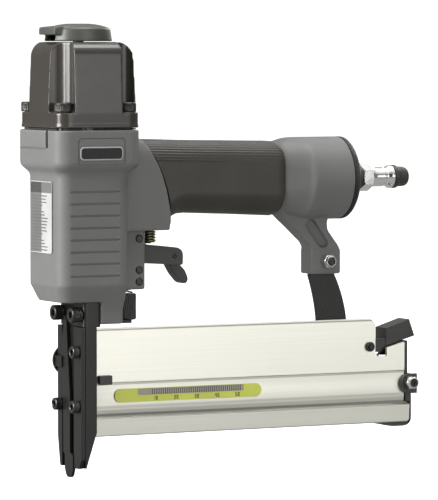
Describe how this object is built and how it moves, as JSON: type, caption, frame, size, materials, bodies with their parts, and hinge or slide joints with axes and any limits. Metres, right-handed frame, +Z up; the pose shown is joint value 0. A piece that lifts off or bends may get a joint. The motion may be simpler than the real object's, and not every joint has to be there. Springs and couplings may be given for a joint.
{
  "type": "pneumatic nailer",
  "caption": "Pneumatic side-loading stapler or brad nailer: square engine housing with bolted cap, sleeved air handle, long two-plate magazine with latch, slim nose with contact arm.",
  "frame": {"origin": "centre of the contact tip's flat face, the point pressed on the work", "axes": "+X from the nose back along the magazine to the air plug, +Z up the cylinder to the exhaust deflector, +Y across the width away from the side with the scale label"},
  "size_m": [0.2386, 0.0581, 0.2527],
  "materials": {
    "grey_paint": "satin",
    "dark_paint": "semi-gloss",
    "black_steel": "black oxide",
    "bright_steel": "ground",
    "chrome": "polished",
    "brass": "satin",
    "aluminium": "satin",
    "sleeve_rubber": "matt",
    "black_plastic": "matt",
    "trigger_plastic": "satin",
    "gasket": "matt",
    "label_green": "satin",
    "label_pale": "satin",
    "badge_black": "gloss"
  },
  "bodies": {
    "housing": {"body_housing": "grey_paint", "cylinder_cap": "dark_paint", "deflector_screw": "black_steel", "cap_gasket": "gasket", "cap_bolt_1": "black_steel", "cap_bolt_2": "black_steel", "cap_bolt_3": "black_steel", "cap_bolt_4": "black_steel", "head_valve_spring": "bright_steel", "cylinder_liner": "bright_steel", "liner_oring": "gasket", "bumper": "sleeve_rubber", "grip_sleeve": "sleeve_rubber", "end_cap_gasket": "gasket", "end_cap": "black_plastic", "air_plug": "chrome", "trigger_pin": "black_steel", "guide_pin_lower": "black_steel", "guide_pin_upper": "black_steel", "valve_body": "brass", "valve_spring": "brass", "nose_body": "black_steel", "front_plate": "black_steel", "yoke_spring": "bright_steel", "nose_bolt_left": "black_steel", "nose_bolt_right": "black_steel", "plate_screw_middle": "black_steel", "plate_screw_left": "black_steel", "plate_screw_right": "black_steel", "nose_dowel": "black_steel", "magazine_rail": "aluminium", "support_strap": "black_steel", "strap_bolt": "bright_steel", "strap_nut": "chrome", "badge_plate": "badge_black", "front_label": "label_pale"},
    "deflector": {"exhaust_deflector": "black_plastic"},
    "head_valve": {"head_valve_piston": "aluminium"},
    "drive": {"drive_piston": "aluminium", "piston_oring": "gasket", "driver_blade": "bright_steel"},
    "trigger": {"trigger": "trigger_plastic", "tongue_pin": "bright_steel"},
    "tongue": {"trigger_tongue": "trigger_plastic"},
    "valve_stem": {"valve_stem": "black_steel"},
    "yoke": {"contact_yoke": "black_steel"},
    "wheel": {"depth_wheel": "black_plastic"},
    "magazine": {"magazine_cover": "aluminium", "front_clip": "black_plastic", "scale_label": "label_green", "end_block": "black_plastic", "end_bolt": "bright_steel", "end_nut": "chrome", "pusher_rod": "bright_steel", "pusher_spring": "bright_steel", "latch_pin": "black_steel", "latch_spring": "bright_steel"},
    "pusher": {"pusher": "black_steel"},
    "latch": {"latch": "black_plastic"},
    "cover": {"plug_cover": "sleeve_rubber"}
  },
  "joints": [
    {"name": "deflector_turn", "type": "hinge", "parent": "housing", "child": "deflector", "pos_m": [0.0055, 0, 0.2428], "axis": [0, 0, 1], "continuous": true},
    {"name": "head_valve_lift", "type": "slide", "parent": "housing", "child": "head_valve", "axis": [0, 0, 1], "range_m": [0, 0.004], "stiffness_N_per_m": 200, "springref_m": -0.005, "deforming": ["head_valve_spring"]},
    {"name": "drive_stroke", "type": "slide", "parent": "housing", "child": "drive", "axis": [0, 0, -1], "range_m": [0, 0.069]},
    {"name": "trigger_pull", "type": "hinge", "parent": "housing", "child": "trigger", "pos_m": [0.0367, 0, 0.1329], "axis": [0, -1, 0], "range_deg": [0, 8], "stiffness_Nm_per_rad": 0.05, "springref_deg": -11.46},
    {"name": "tongue_swing", "type": "hinge", "parent": "trigger", "child": "tongue", "pos_m": [0.0612, 0, 0.1222], "axis": [0, 1, 0], "range_deg": [0, 10], "stiffness_Nm_per_rad": 0.01, "springref_deg": -17.19},
    {"name": "valve_stem_press", "type": "slide", "parent": "housing", "child": "valve_stem", "axis": [0, 0, 1], "range_m": [0, 0.0017], "deforming": ["valve_spring"]},
    {"name": "yoke_slide", "type": "slide", "parent": "housing", "child": "yoke", "axis": [0, 0, 1], "range_m": [0, 0.0045], "stiffness_N_per_m": 300, "springref_m": -0.01, "deforming": ["yoke_spring"]},
    {"name": "depth_wheel_turn", "type": "hinge", "parent": "yoke", "child": "wheel", "pos_m": [0.0355, 0, 0.09], "axis": [0, 0, 1], "continuous": true},
    {"name": "magazine_slide", "type": "slide", "parent": "housing", "child": "magazine", "axis": [1, 0, 0], "range_m": [0, 0.15]},
    {"name": "pusher_slide", "type": "slide", "parent": "magazine", "child": "pusher", "axis": [1, 0, 0], "range_m": [0, 0.14], "stiffness_N_per_m": 20, "springref_m": -0.2, "deforming": ["pusher_spring"]},
    {"name": "latch_lift", "type": "hinge", "parent": "magazine", "child": "latch", "pos_m": [0.1855, 0, 0.067], "axis": [0, -1, 0], "range_deg": [0, 20], "stiffness_Nm_per_rad": 0.05, "springref_deg": -17.19, "deforming": ["latch_spring"]},
    {"name": "plug_cover_pull", "type": "slide", "parent": "housing", "child": "cover", "axis": [1, 0, 0], "range_m": [0, 0.014]}
  ],
  "couplings": [
    {"joint": "valve_stem_press", "follows": "trigger_pull", "m_per_rad": 0.0118}
  ]
}
